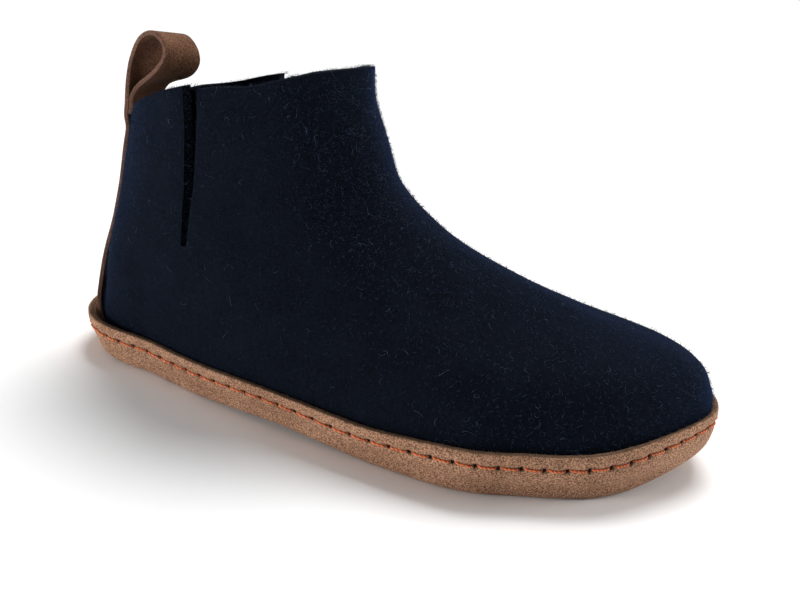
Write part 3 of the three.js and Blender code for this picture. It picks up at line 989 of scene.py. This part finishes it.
# %% Build the strap
def strip_rings(rows, thickness):
    """Closed rings around a strip of one thickness: along its back, then back along its front."""
    rings = []
    last = len(rows[0]) - 1
    for i, points in enumerate(rows):
        before, after = rows[max(i - 1, 0)], rows[min(i + 1, len(rows) - 1)]
        back, front = [], []
        for j, point in enumerate(points):
            along = after[j] - before[j]
            side = points[min(j + 1, last)] - points[max(j - 1, 0)]
            normal = along.cross(side).normalized() * thickness / 2
            back.append(point - normal)
            front.append(point + normal)
        rings.append(back + front[::-1])
    return rings


strap_rings = strip_rings(strap_rows(), STRAP_THICKNESS)
bm = bmesh.new()
edges = start_ring(bm, strap_rings[0])
cap(bm, edges)
for i, points in enumerate(strap_rings[1:]):
    edges = grow_ring(bm, edges, points, i + 1)
cap(bm, edges)
column = bm.verts.layers.int["column"]
for face in bm.faces:
    columns = {vert[column] for vert in face.verts}
    if columns in ({STRAP_COLUMNS, STRAP_COLUMNS + 1}, {0, 2 * STRAP_COLUMNS + 1}) or len(columns) > 2:
        face.material_index = 1
bmesh.ops.recalc_face_normals(bm, faces=bm.faces)
rims = [edge for edge in bm.edges if len({face.material_index for face in edge.link_faces}) == 2]
bmesh.ops.bevel(bm, geom=rims, offset=0.3, segments=2, profile=0.5, affect="EDGES", material=-1)
to_metres(bm)
strap = finish_piece(bm, "suede_strap", strap_suede, strap_edge)
subdivide(strap)
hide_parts("pull_strap")
print("Strap:", len(strap_rings), "rows")

# %% [markdown]
# ## Loose fibres
# Close up, felt is never clean: crimped wool ends stand out of it all over, and they are what softens its
# outline against the white. A few longer pale hairs lie curled on top. The suede's cut rim is fringed too.
# The real fibres are 0.02 mm thick and would vanish, so these are drawn three to seven times as thick.

# %% Wool ends and stray hairs
def fibre_wool(name, colour, tip_colour):
    """Wool fibre: matt, with a colour that varies from one hair to the next."""
    material, tree = new_material(name)
    place = add_node(tree, "ShaderNodeTexCoord").outputs["Object"]
    vary = speckle(tree, place, 2.5, {"Detail": 2})
    shader = add_node(tree, "ShaderNodeBsdfPrincipled", {
        "Base Color": ramp(tree, vary, 0.35, 0.65, colour, tip_colour),
        "Roughness": 0.8,
        "Specular IOR Level": 0.2,
    })
    add_node(tree, "ShaderNodeOutputMaterial", {"Surface": shader.outputs["BSDF"]})
    return material


def random_tangent(normal):
    around_normal = Matrix.Rotation(random.uniform(0, 2 * math.pi), 3, normal)
    return around_normal @ normal.orthogonal().normalized()


def felt_spot():
    """A random place on the outside of the felt, clear of the slits, with its normal."""
    while True:
        around = random.random()
        z = round(random.uniform(SOLE_RIM - 2, COLLAR_HEIGHT) * 2) / 2
        up = up_for(z)
        point = felt_point(around, up)
        rear, front = slit_edges(z)
        if z < collar_height(point.x) - 0.5 and not (z > SLIT_END and rear - 0.5 < point.x < front + 0.5):
            return felt_place(around, up), felt_normal(around, up)


def wool_end():
    """A short end that stands out of the mat and bends over."""
    point, normal = felt_spot()
    lean = random_tangent(normal)
    length = random.uniform(0.8, 2)
    middle = point + (normal * 0.8 + lean * 0.4) * length * 0.5
    tip = middle + (normal * 0.35 + lean) * length * 0.5
    return [point - normal * 0.2, middle, tip], 0.07, 0.03


def cut_end():
    """An end that frays out of the collar or out of a slit's cut face."""
    inner = random.random() < 0.5
    if random.random() < 0.55:
        around = random.random()
        z = collar_z(around)
        out = Vector((0, 0, 1))
    else:
        z = round(random.uniform(SLIT_END, SLIT_TOP - 1) * 2) / 2
        side = random.choice((0, 1))
        around = around_for(slit_edges(z)[side], up_for(z), inner)
        around = 1 - around if inner else around
        out = Vector((1 - 2 * side, 0, 0.2))
    up = up_for(round(z, 1))
    normal = felt_normal(around, up)
    root = felt_place(around, up) - normal * random.uniform(0.3, FELT_WALL - 0.3)
    lean = random_tangent(out)
    length = random.uniform(0.6, 1.8)
    middle = root + (out * 0.8 + lean * 0.4) * length * 0.5
    return [root - out * 0.5, middle, middle + (out * 0.3 + lean) * length * 0.5], 0.06, 0.03


def stray_hair():
    """A longer hair that lies on the mat in a loose curl."""
    point, normal = felt_spot()
    ahead = random_tangent(normal)
    turn = random.uniform(-0.9, 0.9)
    step = random.uniform(0.35, 0.9)
    points = [point - normal * 0.1]
    for i in range(1, 7):
        ahead = Matrix.Rotation(turn * random.uniform(0.4, 1.3), 3, normal) @ ahead
        rise = 0.5 * math.sin(math.pi * i / 7) - 0.02 * (step * i) ** 2
        points.append(points[-1] + ahead * step + normal * (rise - (points[-1] - point).dot(normal)))
    return points, 0.035, 0.03


def rim_end():
    """A fibre of the hide that sticks out of the sole's cut rim."""
    around = random.random()
    root = sole_wall(around, SOLE_RIM - random.uniform(0, 0.6), -random.uniform(0.1, 2.2))
    away = felt_normal(around, up_for(SOLE_RIM))
    ahead = Vector((away.x * random.uniform(-0.4, 1), away.y * random.uniform(-0.4, 1), 1))
    ahead += random_tangent(away) * 0.8
    root.z += 0.3
    return [settle(root), settle(root + ahead.normalized() * random.uniform(0.3, 0.8))], 0.06, 0.03


WOOL_ENDS = 13500
CUT_ENDS = 2400
STRAY_HAIRS = 500
RIM_ENDS = 2600

random.seed(11)
navy_wool = fibre_wool("wool_fibre_navy", "#121a28", "#2c405e")
wool_ends = strands("wool_ends", [wool_end() for _ in range(WOOL_ENDS)], 3, navy_wool)
cut_ends = strands("cut_ends", [cut_end() for _ in range(CUT_ENDS)], 3, navy_wool)
hairs = [stray_hair() for _ in range(STRAY_HAIRS)]
stray_hairs = strands("stray_hairs", hairs, 3, fibre_wool("wool_fibre_pale", "#26303f", "#66768e"))
ends = [rim_end() for _ in range(RIM_ENDS)]
rim_ends = strands("rim_ends", ends, 3, fibre_wool("hide_fibre", "#4a382c", "#9a7a62"))

# %% [markdown]
# ## The room
# A plain white floor without a horizon. The sky is a soft dome, bright behind and above the slipper and dim
# on the camera's side, so the flank stays dark and the soft shadow falls in front. Two soft boxes catch the
# heel and the toe: one stands low, in front and to the left, and one off the toe's far side.

# %% Floor and sky
bm = bmesh.new()
bmesh.ops.create_grid(bm, x_segments=1, y_segments=1, size=12)
mesh = bpy.data.meshes.new("floor")
bm.to_mesh(mesh)
bm.free()
floor = bpy.data.objects.new("floor", mesh)
bpy.context.scene.collection.objects.link(floor)
paper, tree = new_material("white_paper")
matt_white = {"Base Color": linear("#fcfcfc"), "Roughness": 1, "Specular IOR Level": 0}
shader = add_node(tree, "ShaderNodeBsdfPrincipled", matt_white)
add_node(tree, "ShaderNodeOutputMaterial", {"Surface": shader.outputs["BSDF"]})
mesh.materials.append(paper)

world = bpy.data.worlds.new("sky")
world.use_nodes = True
tree = world.node_tree
direction = add_node(tree, "ShaderNodeTexCoord").outputs["Generated"]
brightest = Vector((0, 0.6, 0.8))
facing = add_node(tree, "ShaderNodeVectorMath", {0: direction, 1: brightest}, operation="DOT_PRODUCT")
dome = map_range(tree, facing.outputs["Value"], (-0.2, 1), (0.01, 0.5))
tree.links.new(dome, tree.nodes["Background"].inputs["Strength"])
tree.nodes["Background"].inputs["Color"].default_value = (1, 1, 1, 1)
bpy.context.scene.world = world


# %% Lamps
def add_lamp(name, kind, place, aim, size, power):
    light = bpy.data.lights.new(name, kind)
    light.energy = power
    if kind == "SUN":
        light.angle = size
    else:
        light.shape, light.size = "SQUARE", size
    lamp = bpy.data.objects.new(name, light)
    lamp.location = place
    lamp.rotation_euler = (Vector(aim) - Vector(place)).to_track_quat("-Z", "Y").to_euler()
    bpy.context.scene.collection.objects.link(lamp)


add_lamp("top_light", "SUN", (-0.05, 0.54, 1), (0, 0, 0), math.radians(33), 2.6)
add_lamp("heel_box", "AREA", (-0.9, -0.95, 0.2), (-0.05, 0, 0.05), 0.4, 12.5)
add_lamp("toe_box", "AREA", (1.05, 0.6, 0.35), (0.12, 0, 0.04), 0.5, 8)
bpy.context.scene.view_settings.view_transform = "Standard"
